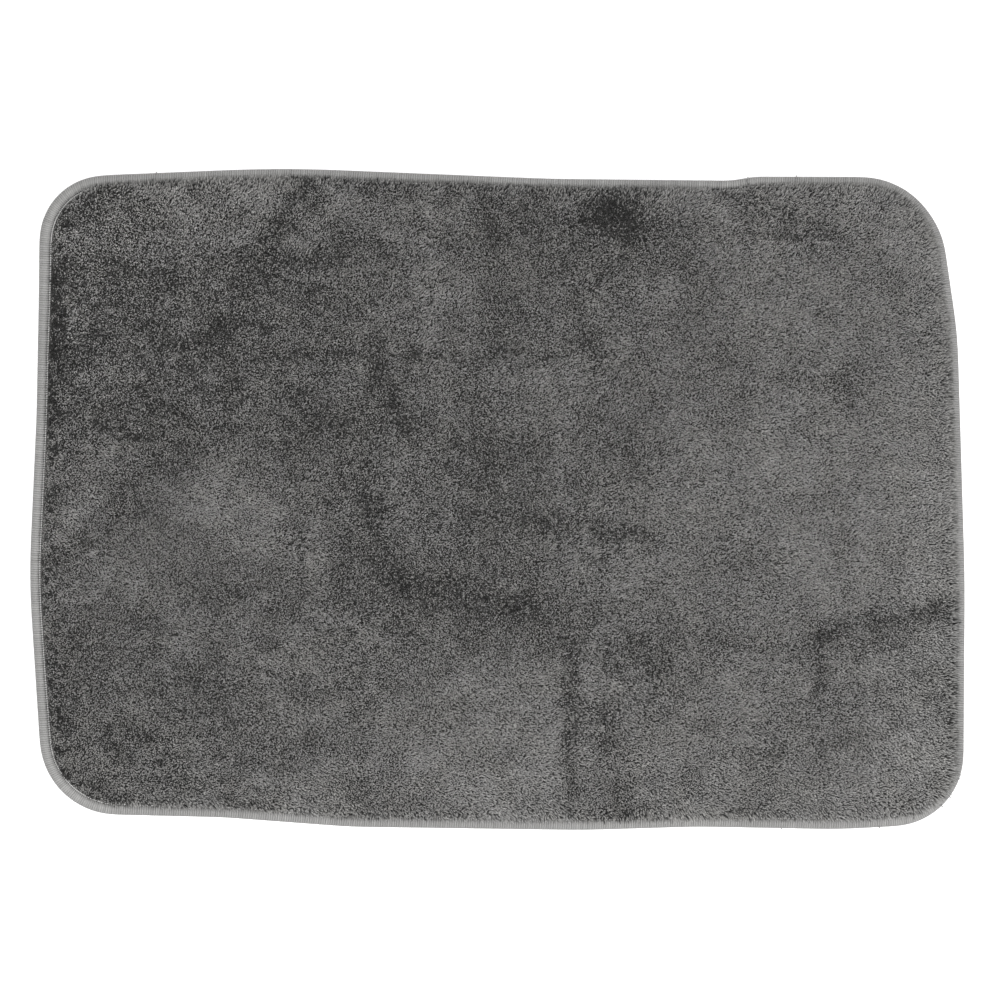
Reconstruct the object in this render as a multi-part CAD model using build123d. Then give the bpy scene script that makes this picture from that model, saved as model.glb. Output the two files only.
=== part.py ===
"""Plush bath mat: cut pile on a ground cloth, a thin foam core, a base cloth with rubber grip dots,
and a three-thread overlock seam round the edge. Millimetres, +Z up, face side up.
The origin is on the floor, under the middle of the mat's length and width."""

from build123d import *
import os

# Heights above the floor, from the bottom up
GRIP_HEIGHT = 0.9  # the rubber dots, and the yarn under the edge, both meet the floor
BACKING_TOP = 1.5
FOAM_TOP = 5.5
GROUND_TOP = 6.3
PILE_TOP = 14.3

# Distances inwards from the mat's outline
EDGE_YARN = 1.0  # yarn over the cut edge of the cloths
SEAM_WIDTH = 7.4  # overlock yarn on the face and on the underside
NEEDLE_LINE = 8.2  # inner side of the needle thread, where the pile begins
FULL_THICKNESS = 20.0  # from here inwards the seam no longer squeezes the foam
GRIP_MARGIN = 16.0  # clear band between the outline and the grip dots' centres

# Seam
SEAM_SQUEEZE = 2.0  # how much thinner the stack is under the stitches
YARN_THICKNESS = 0.9
YARN_MEETING_HEIGHT = 2.6  # the two looper yarns lock together here, on the cut edge
NEEDLE_THREAD_HEIGHT = 0.7
EDGE_ROUNDING = 0.8

# Pile and grip dots
PILE_ROUNDING = 5.5
GRIP_FLOOR_RADIUS = 1.8
GRIP_CLOTH_RADIUS = 2.5
GRIP_PITCH = 24.0
GRIP_ROW_PITCH = GRIP_PITCH * 3**0.5 / 2

# Outline of the finished mat: corner points and the radius that rounds each of them, clockwise from
# the front left corner. The long gentle bends are the waviness of a soft, hand-cut edge.
OUTLINE = [
    (-338.6, -235.6, 58),
    (-349.9, -60.0, 500),
    (-344.4, 62.0, 700),
    (-342.7, 150.0, 900),
    (-341.9, 238.2, 49),
    (-290.0, 242.1, 220),
    (-160.0, 247.4, 1000),
    (40.0, 239.2, 1000),
    (176.0, 237.8, 30),  # the seam starts here and, a stitch later, ends over its own start
    (192.0, 240.8, 30),
    (306.0, 240.5, 62),
    (334.0, 198.0, 62),
    (345.0, 122.0, 300),
    (350.4, -60.0, 1200),
    (349.2, -242.8, 54),
    (256.0, -247.8, 400),
    (150.0, -245.8, 500),
    (65.0, -248.4, 700),
    (-110.0, -245.9, 350),
    (-205.0, -238.8, 400),
]


def mat_outline():
    """The mat's outline as a flat face on the floor, centred on the origin by its bounding box."""
    corners = [(x, y) for x, y, _ in OUTLINE]
    radii = [radius for _, _, radius in OUTLINE]
    face = make_face(FilletPolyline(*corners, radius=radii, close=True)).face()
    middle = face.bounding_box().center()
    return Pos(-middle.X, -middle.Y) * face


MAT = mat_outline()


def inset(distance):
    """The mat's outline moved inwards by a distance."""
    return MAT if distance == 0 else offset(MAT, amount=-distance).face()


def slab(distance, bottom, top):
    """A flat layer between two heights, its edge at a distance inside the mat's outline."""
    return Pos(0, 0, bottom) * extrude(inset(distance), top - bottom)


def top_edges(solid):
    """The edges round a solid's highest face."""
    return solid.faces().sort_by(Axis.Z)[-1].edges()


def bottom_edges(solid):
    """The edges round a solid's lowest face."""
    return solid.faces().sort_by(Axis.Z)[0].edges()


def stack_up_to(height):
    """The cloths and foam up to a height: squeezed thin under the seam, ramping up to full inside it."""
    ramp_run = FULL_THICKNESS - NEEDLE_LINE
    middle = slab(NEEDLE_LINE, GRIP_HEIGHT, height)
    ramp = chamfer(top_edges(middle), length=SEAM_SQUEEZE, length2=ramp_run, reference=None)
    return ramp + slab(EDGE_YARN, GRIP_HEIGHT, height - SEAM_SQUEEZE)


def make_backing_cloth():
    return slab(EDGE_YARN, GRIP_HEIGHT, BACKING_TOP)


def make_foam_core():
    return stack_up_to(FOAM_TOP) - make_backing_cloth()


def make_ground_fabric():
    return stack_up_to(GROUND_TOP) - stack_up_to(FOAM_TOP)


def make_pile():
    """A soft block with a rounded shoulder that stands on the ground cloth inside the seam."""
    block = slab(NEEDLE_LINE, GROUND_TOP - SEAM_SQUEEZE, PILE_TOP)
    rounded = fillet(top_edges(block), PILE_ROUNDING)
    return rounded - stack_up_to(GROUND_TOP)


def make_upper_looper_yarn():
    """The face side of the seam: over the cloth's margin and down the upper part of the cut edge."""
    margin_top = GROUND_TOP - SEAM_SQUEEZE
    skin = slab(0, YARN_MEETING_HEIGHT, margin_top + YARN_THICKNESS)
    rounded = fillet(top_edges(skin), EDGE_ROUNDING)
    return rounded - slab(EDGE_YARN, YARN_MEETING_HEIGHT, margin_top) - seam_hole()


def make_lower_looper_yarn():
    """The underside of the seam: under the base cloth and up the lower part of the cut edge."""
    skin = slab(0, 0, YARN_MEETING_HEIGHT)
    rounded = fillet(bottom_edges(skin), EDGE_ROUNDING)
    return rounded - slab(EDGE_YARN, GRIP_HEIGHT, YARN_MEETING_HEIGHT) - seam_hole()


def seam_hole():
    """Everything inside the seam's inner border, at any height."""
    return slab(SEAM_WIDTH, 0, PILE_TOP)


def make_needle_thread():
    """The line of needle stitches that lies along the inner border of the seam."""
    bottom = GROUND_TOP - SEAM_SQUEEZE
    top = bottom + NEEDLE_THREAD_HEIGHT
    return slab(SEAM_WIDTH, bottom, top) - slab(NEEDLE_LINE, bottom, top)


def grip_dot_centres():
    """A staggered grid of points, one of them at the origin, that keeps clear of the seam."""
    field = inset(GRIP_MARGIN)
    size = field.bounding_box().size
    rows = int(size.Y / 2 / GRIP_ROW_PITCH)
    columns = int(size.X / 2 / GRIP_PITCH) + 1
    centres = []
    for row in range(-rows, rows + 1):
        shift = GRIP_PITCH / 2 if row % 2 else 0
        for column in range(-columns, columns + 1):
            centre = Vector(column * GRIP_PITCH + shift, row * GRIP_ROW_PITCH, 0)
            if field.is_inside(centre):
                centres.append(centre)
    return centres


def make_grip_dots():
    """Low rubber cones on the base cloth, with flat tips on the floor."""
    cone = Cone(
        GRIP_FLOOR_RADIUS,
        GRIP_CLOTH_RADIUS,
        GRIP_HEIGHT,
        align=(Align.CENTER, Align.CENTER, Align.MIN),
    )
    return Compound(children=[Pos(centre) * cone for centre in grip_dot_centres()])


PIECES = {
    "pile": make_pile,
    "ground_fabric": make_ground_fabric,
    "foam_core": make_foam_core,
    "backing_cloth": make_backing_cloth,
    "grip_dots": make_grip_dots,
    "upper_looper_yarn": make_upper_looper_yarn,
    "lower_looper_yarn": make_lower_looper_yarn,
    "needle_thread": make_needle_thread,
}

os.makedirs("parts", exist_ok=True)
for name, make in PIECES.items():
    export_step(make(), f"parts/{name}.step")
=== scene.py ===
"""The looks of a plush bath mat, built round its CAD frame. Metres, +Z up, pile side up.

The pile is a soft bed with a leaning tuft of fibres for every stitch of the ground cloth, and the
edge is a three-thread overlock seam made stitch by stitch. All of it follows the CAD outline.
"""

import math

import bpy
import numpy as np
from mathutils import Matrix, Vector
from mathutils.geometry import delaunay_2d_cdt


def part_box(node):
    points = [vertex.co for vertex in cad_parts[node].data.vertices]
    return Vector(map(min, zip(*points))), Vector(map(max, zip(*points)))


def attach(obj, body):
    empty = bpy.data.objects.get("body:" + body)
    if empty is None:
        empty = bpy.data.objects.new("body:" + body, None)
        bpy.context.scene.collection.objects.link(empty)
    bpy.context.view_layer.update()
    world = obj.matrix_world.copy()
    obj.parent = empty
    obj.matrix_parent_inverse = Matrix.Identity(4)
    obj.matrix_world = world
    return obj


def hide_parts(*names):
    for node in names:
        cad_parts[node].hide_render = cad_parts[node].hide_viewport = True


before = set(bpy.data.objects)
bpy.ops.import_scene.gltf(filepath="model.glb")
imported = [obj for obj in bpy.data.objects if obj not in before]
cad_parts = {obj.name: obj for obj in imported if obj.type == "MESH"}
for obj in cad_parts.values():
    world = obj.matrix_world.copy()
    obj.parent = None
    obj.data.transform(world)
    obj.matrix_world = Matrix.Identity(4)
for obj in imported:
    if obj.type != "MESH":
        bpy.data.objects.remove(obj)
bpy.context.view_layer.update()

MM = 0.001
ON_FACE = 0.01 * MM  # points this near a height count as being at it
BODY = "root"
RNG_SEED = 58
UP = np.array([0.0, 0.0, 1.0])


# -------- sizes that the frame holds


def low(node):
    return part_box(node)[0]


def high(node):
    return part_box(node)[1]


MAT_LENGTH = high("upper_looper_yarn").x - low("upper_looper_yarn").x
MAT_WIDTH = high("upper_looper_yarn").y - low("upper_looper_yarn").y

# Heights
YARN_MEETING_Z = low("upper_looper_yarn").z
SEAM_TOP_Z = high("upper_looper_yarn").z
MARGIN_TOP_Z = low("pile").z
BACKING_BOTTOM_Z = low("backing_cloth").z
BACKING_TOP_Z = high("backing_cloth").z
FOAM_TOP_Z = high("foam_core").z
GROUND_TOP_Z = high("ground_fabric").z
SEAM_SQUEEZE = GROUND_TOP_Z - MARGIN_TOP_Z

# Distances inwards from the outline
CLOTH_EDGE = low("ground_fabric").x - low("upper_looper_yarn").x
NEEDLE_OUTER = low("needle_thread").x - low("upper_looper_yarn").x
PILE_EDGE = low("pile").x - low("upper_looper_yarn").x
RAMP_END = 20 * MM  # inwards of this the seam no longer squeezes the foam
RAMP_RINGS = (PILE_EDGE, RAMP_END)

# -------- sizes of the looks

# Mesh spacing of the flat layers, and of the pile's lower part
LAYER_PITCH = 6 * MM
BED_PITCH = 4 * MM

# Seam
STITCH_PITCH = 1.72 * MM
RIM_STEPS = 4  # outline points per stitch
RIM_SMOOTHING = 2.5  # stitches over which the CAD outline's short straight runs are rounded
JOIN_PLACE = (189 * MM, 241 * MM)  # where the seam's end runs over its own start
JOIN_OVERLAP = 14  # stitches sewn twice there
JOIN_LIFT = 0.45 * MM
JOIN_BRIGHTNESS = 1.08
WIDE_SEAMS = [(-335, 215, 70, 0.2), (-340, -195, 50, 0.07)]  # x, y, reach in mm, extra share of width
# Painted light and shade across the seam's yarn (darker at its outer rounding, lighter over its crest and
# inner side), and painted shade in the grooves between its wraps, by mm inside the outline
RIM_LIGHT_AND_SHADE = {0.0: 0.95, 2.0: 1.05, 3.2: 1.2, 5.4: 1.28, 6.8: 1.22, 8.5: 1.15}
GROOVE_SHADE = {0.0: 0.85, 3.0: 0.8, 5.0: 0.5, 8.0: 0.35}
# Each looper yarn's way over the edge, as (distance inside the outline, height) in mm, and its half sizes
UPPER_WRAP = [
    (7.5, 4.4), (6.7, 4.95), (5.1, 5.45), (3.5, 5.35), (1.9, 4.75), (0.85, 3.9), (0.55, 2.9), (0.8, 2.2),
]
UPPER_WRAP_SIZE = (0.97 * MM, 0.62 * MM)
LOWER_WRAP = [(0.55, 2.9), (0.45, 2.0), (0.75, 1.1), (1.9, 0.5), (4.5, 0.45), (7.4, 0.45)]
LOWER_WRAP_SIZE = (0.9 * MM, 0.42 * MM)
WRAP_STEPS = 9
WRAP_SIDES = 8
WRAP_SLANT = 0.22  # stitches that a wrap moves on between the rim and its inner end
WRAP_ROUNDING = 0.12  # in radians: where on a half turn a wrap's rounded ends start
WRAP_FULLNESS = 0.35  # the less, the sooner a wrap is at its full thickness
SEAM_WANDER = 0.03  # slow changes of width and tone round the rim, as a share
WANDER_SPAN = 14  # stitches that they are smoothed over
NEEDLE_RADIUS = 0.56 * MM
NEEDLE_ARCH = 1.2 * MM  # how high a needle stitch rises between its two holes
NEEDLE_SHIFT = 0.6 * MM  # inwards of the seam's inner border
NEEDLE_PROFILE = [0.3, 0.8, 1.0, 1.0, 0.8, 0.3]  # thickness along one stitch, as a share

# Pile
TUFT_PITCH = 1.08 * MM
TUFT_LENGTH = 4.4 * MM
TUFT_SIDES = 3
TUFT_WIDTHS = {0.0: 0.6, 0.62: 1.0}  # share along the tuft: share of its full width
TUFT_WIDE = (0.56, 0.8)  # least and most of a tuft's half width, as a share of the pitch
TUFT_NARROW = (0.42, 0.7)  # the same of its half width the other way, as a share of the wide one
TUFT_ROOT_DEPTH = 0.8 * MM
PLAIN_SPREAD = {-1.0: 0.46, -0.3: 0.3, 0.25: 0.2, 0.6: 0.17}  # nap: how far plain tufts differ in tone
SHADED_TUFT_TONE = (0.05, 0.44)  # painted shade: tone of the tufts coloured dark as if they lay shaded between the others
SHADED_TUFT_SHARE = {-2.4: 0.84, -0.7: 0.3, -0.1: 0.11, 0.25: 0.03, 0.6: 0.008}  # nap: share of such tufts
BED_HEIGHT = 3.5 * MM  # dense lower part of the pile, above the ground cloth
BED_WAVES = [(90, 50, 0.9), (35, 52, 0.5)]  # how its top rises and dips: cell in mm, seed, height in mm
FOLD_DEPTH = 0.9 * MM
RELIEF_FADE = 18 * MM  # inwards of the pile's edge the waves and folds grow to full over this
SHOULDER = 5.5 * MM  # rounding of the pile along the seam
CLUMP_PLACE = 13 * MM  # inside the outline, where the pile is parted in clumps
CLUMP_REACH = 6 * MM
CLUMP_DEPTH = 2.0
TILE_COLUMNS, TILE_ROWS = 7, 3
CELL_MARGIN = 0.15  # free share on each side of a tuft's cell in the map

# Nap: which way the tufts lie, and how strongly
NAP_DIRECTION = (0.96, 0.12)
NAP_FAN = 0.32  # how much the nap turns outwards towards the two long sides
NAP_LEAN = 0.24
NAP_LEAN_SPREAD = 0.14
LEAN_WAVES = [(45, 60, 0.14), (14, 62, 0.12)]  # cell in mm, seed, strength
LEAN_RUFFLE = (3.4 * MM, 64, 0.24)  # the same for the finest one, stronger where the nap is ruffled
LEAN_RANDOM = 0.15
LEAN_SPILL = 1.2  # extra lean outwards at the edge, where the pile hangs over the seam
LEAN_LIMIT = 0.92
# painted light and shade: the pile's colour gets lighter where the nap lies flat and darker where it is
# ruffled, standing in for how the leaning fibres catch the light
NAP_LIGHT_AND_SHADE = 0.165  # how fast the pile gets lighter with its nap
NAP_UNEVENNESS = {-350: 1.9, -120: 1.2, 100: 0.9, 160: 0.6, 350: 0.6}  # x in mm: share of mottling
# Mottling, coarse to fine: cell in mm, seed, strength, squeeze in X and Y (it runs a little along the mat)
MOTTLING = [
    (40, 40, 0.16, (1, 1)),
    (16, 42, 0.24, (0.85, 1.15)),
    (7, 44, 0.26, (0.85, 1.15)),
    (3.4, 46, 0.16, (1, 1)),
]

# Broad areas of the nap (middle x, y, half width, half height in mm, strength): brushed flat where the
# strength is above zero, ruffled up where it is below; the tufts lean with it, and their colour is painted
# lighter or darker with it as light and shade.
NAP_AREAS = [
    (250, -10, 122, 300, 0.24),
    (330, -5, 52, 75, 0.5),
    (132, 0, 28, 85, 0.18),
    (330, 185, 28, 40, 0.35),
    (300, -215, 70, 42, 0.58),
    (150, -205, 48, 36, 0.3),
    (60, 192, 110, 28, -0.32),
    (-250, 105, 125, 78, -0.52),
    (268, -102, 42, 24, -0.35),
    (62, -120, 28, 70, -0.25),
    (110, -146, 18, 22, -0.35),
    (-342, 140, 20, 75, -0.6),
    (-30, 20, 130, 115, -0.36),
    (-55, -78, 110, 28, -0.35),
    (-195, -8, 48, 44, 0.55),
    (-10, -182, 105, 74, 0.55),
    (-10, -232, 100, 24, 0.3),
    (-147, -225, 38, 24, 0.6),
    (-275, -135, 85, 60, -0.25),
    (86, 213, 23, 17, -2.3),
    (35, 212, 60, 24, -0.5),
    (130, 202, 24, 20, -0.5),
    (-228, 202, 62, 28, 0.5),
    (-155, 160, 48, 34, -0.25),
    (-135, 40, 30, 60, -0.2),
    (118, 135, 16, 30, 0.2),
    (-48, 80, 24, 26, 0.45),
    (-35, 160, 26, 34, 0.15),
    (240, 92, 55, 22, -0.28),
    (346, -100, 16, 160, -0.3),
    (-150, 152, 28, 30, -0.28),
    (-334, 137, 16, 24, -0.35),
    (-95, -198, 40, 28, 0.25),
    (298, -20, 18, 26, 0.25),
    (-300, -85, 30, 24, 0.22),
    (88, -142, 36, 26, -0.2),
    (0, -172, 30, 20, -0.2),
    (-105, 88, 30, 24, 0.2),
    (232, 199, 20, 14, -0.22),
    (-82, -105, 16, 45, -0.2),
]

# Ruffled pile (middle x, y, half width, half height in mm): more tufts painted dark as shade, and paler ones
# between
ROUGH_AREAS = [(-300, 190, 130, 110)]
ROUGH_SHADED_SHARE = 0.12
ROUGH_LIFT = 0.18
ROUGH_SPREAD = 0.15

# Strokes and fold lines of the nap (start x, y, end x, y, half width in mm, strength): those below zero are
# pressed in as folds, and all of them paint the pile lighter or darker through the nap, as light and shade
NAP_STROKES = [
    (-322, 178, -240, 172, 5, -0.8),
    (-338, 118, -330, 158, 12, -1),
    (-318, 122, -292, 120, 5, -0.7),
    (-322, 88, -300, 66, 5, -0.5),
    (-186, 178, -118, 182, 9, -0.85),
    (-236, 118, -206, 124, 6, -0.85),
    (-212, 132, -168, 132, 6, -0.7),
    (-222, 112, -90, 108, 4, -0.5),
    (-90, 107, 92, 108, 3, -0.7),
    (-298, 54, -262, 50, 5, -1),
    (-258, 72, -238, 58, 7, -1.05),
    (-246, 42, -222, 36, 5, -0.6),
    (-262, 120, -240, 104, 8, -0.5),
    (-345, 60, -340, 205, 9, -0.5),
    (-347, 20, -350, -80, 9, -0.45),
    (-170, 196, -143, 236, 7, -0.95),
    (-150, 186, -118, 228, 7, 0.6),
    (-225, 195, -195, 232, 8, 0.55),
    (-192, 190, -168, 230, 4, 0.45),
    (-262, 196, -238, 226, 5, 0.4),
    (-130, 214, -118, 236, 4, -0.6),
    (-100, 238, 62, 232, 8, -0.45),
    (-96, 236, -76, 238, 12, -0.7),
    (-120, 195, -85, 188, 7, -0.55),
    (-60, 192, -20, 192, 9, -0.3),
    (-2, 200, 0, 118, 6, -0.4),
    (60, 150, 66, 118, 7, -0.95),
    (62, 120, 76, 166, 4, -0.55),
    (86, 168, 104, 196, 8, -0.9),
    (100, 204, 98, 180, 7, -0.6),
    (84, 160, 100, 186, 5, 0.35),
    (140, 185, 141, 100, 3.5, -0.35),
    (152, 232, 178, 204, 5, 0.5),
    (166, 228, 252, 196, 8, -0.8),
    (180, 200, 262, 193, 5, -0.6),
    (262, 226, 326, 168, 10, 0.45),
    (276, 205, 300, 160, 6, -0.4),
    (158, 114, 208, 84, 5, -0.6),
    (205, 84, 345, 88, 5, -0.22),
    (262, 100, 266, 78, 7, -0.4),
    (110, 84, 122, 66, 6, -0.55),
    (96, 56, 104, 22, 7, -0.4),
    (-50, 42, 60, 48, 7, -0.3),
    (-90, 98, -68, 52, 8, -1.4),
    (-104, 98, -84, 78, 5, 0.45),
    (-94, 6, -76, -60, 8, -0.9),
    (-50, -4, 30, -14, 6, -0.35),
    (30, -16, 106, -26, 7, -0.75),
    (107, -24, 332, 16, 3, -0.25),
    (-70, -62, 62, -98, 12, -0.55),
    (50, -96, 56, -232, 7, -0.85),
    (66, -112, 70, -150, 6, 0.35),
    (84, -170, 92, -232, 9, -0.7),
    (102, -108, 124, -124, 8, -0.8),
    (126, -104, 235, -112, 6, -0.45),
    (246, -100, 334, -80, 9, -1.1),
    (243, -106, 240, -140, 7, -0.85),
    (238, -140, 234, -205, 6, -0.4),
    (200, -192, 342, -162, 5, -0.55),
    (178, -184, 228, -196, 6, -0.45),
    (262, -124, 340, -104, 12, 0.35),
    (-104, -110, -100, -238, 7, -0.45),
    (-330, -32, -298, 4, 7, 1),
    (-336, -8, -316, 18, 4, -0.7),
    (-334, -52, -300, -30, 5, -0.4),
    (-312, -186, -272, -222, 7, 0.55),
    (-298, -178, -238, -210, 7, -0.6),
    (-330, -160, -305, -195, 6, -0.45),
    (-150, 16, -148, -60, 4, -0.4),
    (-347, -80, -342, -180, 10, -0.5),
    (300, 118, 342, 118, 4, -0.25),
]

# Where the pile at the edge is longer or shorter (middle x, y, radius in mm, extra share of length)
EDGE_PILE = [
    (342, -216, 24, 1.6),
    (322, -240, 18, 0.4),
    (172, 233, 14, -0.6),
    (228, 236, 22, 0.2),
    (-338, 190, 40, -0.2),
    (-150, -243, 140, 0.35),
    (120, -247, 140, 0.45),
    (350, -60, 150, 0.3),
]

# Loose ends of seam yarn (x, y where it leaves the seam, heading in degrees, length, first height, last
# height, tone; sizes in mm)
THREAD_ENDS = [
    (185.5, 240, -64, 11, 6.5, 9.6, 0.55),  # the cut end at the join, tucked into the pile
    (186.5, 240, 64, 2.8, 5.6, 4.6, 0.8),
    (-254.6, 245, 98, 2.6, 5, 3.8, 0.8),
    (223, 242, 74, 2.6, 5, 3.8, 0.8),
    (212, -247, -84, 2.5, 5, 3.8, 0.8),
    (285, -247, -70, 2.8, 5, 3.6, 0.75),
    (334, -231, -52, 3, 5.2, 3.8, 0.65),
    (340, -224, -36, 2.8, 5.2, 3.8, 0.65),
    (346, -209, -24, 2.5, 5, 3.8, 0.7),
]
THREAD_END_INSET = 1.6 * MM  # where on the seam a loose end leaves it
THREAD_END_RADIUS = 0.42 * MM
THREAD_END_PROFILE = [0.7, 1.0, 1.0, 1.0, 0.95, 0.8, 0.45]
THREAD_SIDES = 6

# Grip dots: half of a dot's outline from its foot on the cloth to its tip, as (radius, height) in mm
DOT_PROFILE = [(2.5, 0.9), (2.42, 0.6), (2.15, 0.2), (1.7, 0.02), (0.9, 0.0)]
DOT_STEPS, DOT_SIDES = 7, 14
DOT_CELL = (12 * MM, 12 * MM * math.sqrt(3))  # half the grid's spacing each way

# Studio
CAMERA_HEIGHT = 3.2
CAMERA_OFFSET = (1.9 * MM, -0.4 * MM)
MAT_SHARE_OF_PICTURE = 0.935
WORLD_STRENGTH = 1.3
SOFTBOX_PLACE = (0.7, -1.1, 2.0)
SOFTBOX_SIZE = (1.6, 1.2)
SOFTBOX_WATTS = 30
FLOOR_HALF = 8.0
FLOOR_GLOW = 0.35

# -------- the outline


def resample_closed(loop, count):
    """A closed loop of points, spaced evenly along its length."""
    closed = np.vstack([loop, loop[:1]])
    travelled = np.concatenate([[0], np.cumsum(np.linalg.norm(np.diff(closed, axis=0), axis=1))])
    at = np.linspace(0, travelled[-1], count, endpoint=False)
    return np.column_stack([np.interp(at, travelled, closed[:, k]) for k in range(closed.shape[1])])


def smooth_closed(values, width):
    """Values round a closed loop, blurred over a width counted in points."""
    frequency = np.fft.fftfreq(len(values))
    blur = np.exp(-2 * (math.pi * frequency * width) ** 2)
    if values.ndim > 1:
        blur = blur[:, None]
    return np.fft.ifft(np.fft.fft(values, axis=0) * blur, axis=0).real


def outline_of(node):
    """The outer boundary of a CAD node's lowest flat face, counterclockwise, as points in X and Y."""
    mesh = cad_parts[node].data
    bottom = low(node).z
    following = {}
    for polygon in mesh.polygons:
        corners = [tuple(round(c, 6) for c in mesh.vertices[v].co) for v in polygon.vertices]
        if polygon.normal.z > -0.9 or max(c[2] for c in corners) > bottom + ON_FACE:
            continue
        for start, end in zip(corners, corners[1:] + corners[:1]):
            if start in following.get(end, ()):
                following[end].remove(start)
            else:
                following.setdefault(start, []).append(end)
    loops = []
    while any(following.values()):
        point = next(p for p, ends in following.items() if ends)
        loop = []
        while following.get(point):
            loop.append(point[:2])
            point = following[point].pop()
        loops.append(np.array(loop))
    outer = max(loops, key=lambda loop: np.ptp(loop, axis=0).sum())
    x, y = outer.T
    area = (x * np.roll(y, -1) - y * np.roll(x, -1)).sum()
    return outer if area > 0 else outer[::-1]


def make_rim():
    """The outline with RIM_STEPS points to a stitch from the join on, and its directions there."""
    loop = outline_of("upper_looper_yarn")
    length = np.linalg.norm(np.diff(np.vstack([loop, loop[:1]]), axis=0), axis=1).sum()
    stitches = round(length / STITCH_PITCH)
    points = smooth_closed(resample_closed(loop, stitches * RIM_STEPS), RIM_SMOOTHING * RIM_STEPS)
    first = np.argmin(np.linalg.norm(points - JOIN_PLACE, axis=1))
    points = np.roll(points, -first, axis=0)
    along = np.roll(points, -1, axis=0) - np.roll(points, 1, axis=0)
    along /= np.linalg.norm(along, axis=1)[:, None]
    inwards = np.column_stack([-along[:, 1], along[:, 0]])
    return stitches, points, along, inwards


STITCHES, RIM, RIM_ALONG, RIM_IN = make_rim()


def edge_distance(points):
    """How far inside the outline each point is, and the nearest outline point's number.

    Where the seam is sewn wider, distances shrink, so that everything shifts inwards with it.
    """
    stride = 16
    landmarks = RIM[::stride]
    reach = np.arange(-stride, stride + 1)
    nearest = np.empty(len(points), int)
    block = 20000
    for start in range(0, len(points), block):
        part = points[start : start + block]
        rough = ((part[:, None, :] - landmarks[None, :, :]) ** 2).sum(2).argmin(1) * stride
        choice = (rough[:, None] + reach) % len(RIM)
        closest = ((part[:, None, :] - RIM[choice]) ** 2).sum(2).argmin(1)
        nearest[start : start + block] = choice[np.arange(len(part)), closest]
    distance = ((points - RIM[nearest]) * RIM_IN[nearest]).sum(1)
    return distance / seam_growth(nearest), nearest


def seam_growth(rim_numbers):
    """How much wider than usual the seam is at outline points, as a factor."""
    growth = 1.0
    for x, y, reach, share in WIDE_SEAMS:
        growth = growth + share * np.exp(-area_spread(RIM[rim_numbers], x, y, reach, reach))
    return growth


# -------- fields over the mat


def read_off(table, at):
    """A value from a table of places and values, with straight lines between its entries."""
    return np.interp(at, list(table), list(table.values()))


def area_spread(points, x, y, half_width, half_height):
    """The square of how far each point is from an area's middle, 1 on its border (sizes in mm)."""
    away = (points - np.array([x, y]) * MM) / (np.array([half_width, half_height]) * MM)
    return (away**2).sum(1)


def noise(points, cell, seed):
    """Smooth values between -1 and 1 that change over a cell's size."""
    span = 1.0
    count = int(span / cell) + 4
    grid = np.random.default_rng(RNG_SEED + seed).uniform(-1, 1, (count, count))
    place = (points + span / 2) / cell
    corner = np.floor(place).astype(int)
    part = place - corner
    part = part * part * (3 - 2 * part)
    i, j = corner.T
    u, v = part.T
    near = grid[i, j] * (1 - u) + grid[i + 1, j] * u
    far = grid[i, j + 1] * (1 - u) + grid[i + 1, j + 1] * u
    return near * (1 - v) + far * v


def noise_pair(points, cell, seed):
    return np.column_stack([noise(points, cell, seed), noise(points, cell, seed + 1)])


def warped(points):
    """Points pushed about a little, so that what is drawn over them has ragged borders."""
    broad = noise_pair(points, 34 * MM, 10) * 4 * MM
    fine = noise_pair(points, 9 * MM, 20) * 3.2 * MM
    return points + broad + fine


def segment_distance(points, start, end):
    along = end - start
    share = np.clip(((points - start) @ along) / (along @ along), 0, 1)
    return np.linalg.norm(points - start - share[:, None] * along, axis=1)


def stroke_share(place, stroke, spread):
    """How near each point is to a stroke's middle line: 1 on it, fading to 0 beside it."""
    start, end, half_width = np.array(stroke[:2]), np.array(stroke[2:4]), stroke[4]
    away = segment_distance(place, start * MM, end * MM)
    return np.exp(-((away / (spread * half_width * MM)) ** 2))


def nap_at(points):
    """The nap's state: about -1 where it is ruffled up, about 1 where it lies flat; it sets the tufts' lean
    and their painted light and shade.
    """
    place = warped(points)
    nap = np.zeros(len(points))
    for *area, strength in NAP_AREAS:
        nap += strength * np.exp(-area_spread(place, *area) ** 1.3)
    patchy = 0.8 + 0.5 * noise(points, 20 * MM, 30)
    for stroke in NAP_STROKES:
        nap += stroke[-1] * patchy * stroke_share(place, stroke, 1.0)
    mottling = sum(
        share * noise(points * squeeze, cell * MM, seed) for cell, seed, share, squeeze in MOTTLING
    )
    return nap + mottling * read_off(NAP_UNEVENNESS, points[:, 0] / MM)


def roughness_at(points):
    """How ruffled the pile is, from 0 to 1."""
    return sum(np.exp(-area_spread(points, *area)) for area in ROUGH_AREAS)


def relief_at(points, distance):
    """How much the pile's surface rises and dips, in metres: long waves, and fold lines pressed in."""
    relief = sum(height * MM * noise(points, cell * MM, seed) for cell, seed, height in BED_WAVES)
    place = warped(points)
    for stroke in NAP_STROKES:
        relief += FOLD_DEPTH * min(stroke[-1], 0) * stroke_share(place, stroke, 1.3)
    fade = np.clip((distance - PILE_EDGE) / RELIEF_FADE, 0, 1)
    return relief * fade


def shoulder(distance, radius):
    """0 at the pile's edge, rising as a quarter circle to 1 a radius further in."""
    share = np.clip((distance - PILE_EDGE) / radius, 0, 1)
    return np.sqrt(1 - (1 - share) ** 2)


def bed_height(points, distance):
    """The top of the dense lower part of the pile."""
    full = GROUND_TOP_Z + BED_HEIGHT + relief_at(points, distance)
    return MARGIN_TOP_Z + (full - MARGIN_TOP_Z) * shoulder(distance, SHOULDER)


def squeezed(height, distance):
    """A layer's height, lower under the seam and ramping up inside it."""
    ramp = np.clip((distance - PILE_EDGE) / (RAMP_END - PILE_EDGE), 0, 1)
    return height - SEAM_SQUEEZE * (1 - ramp)


# -------- meshes


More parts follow.
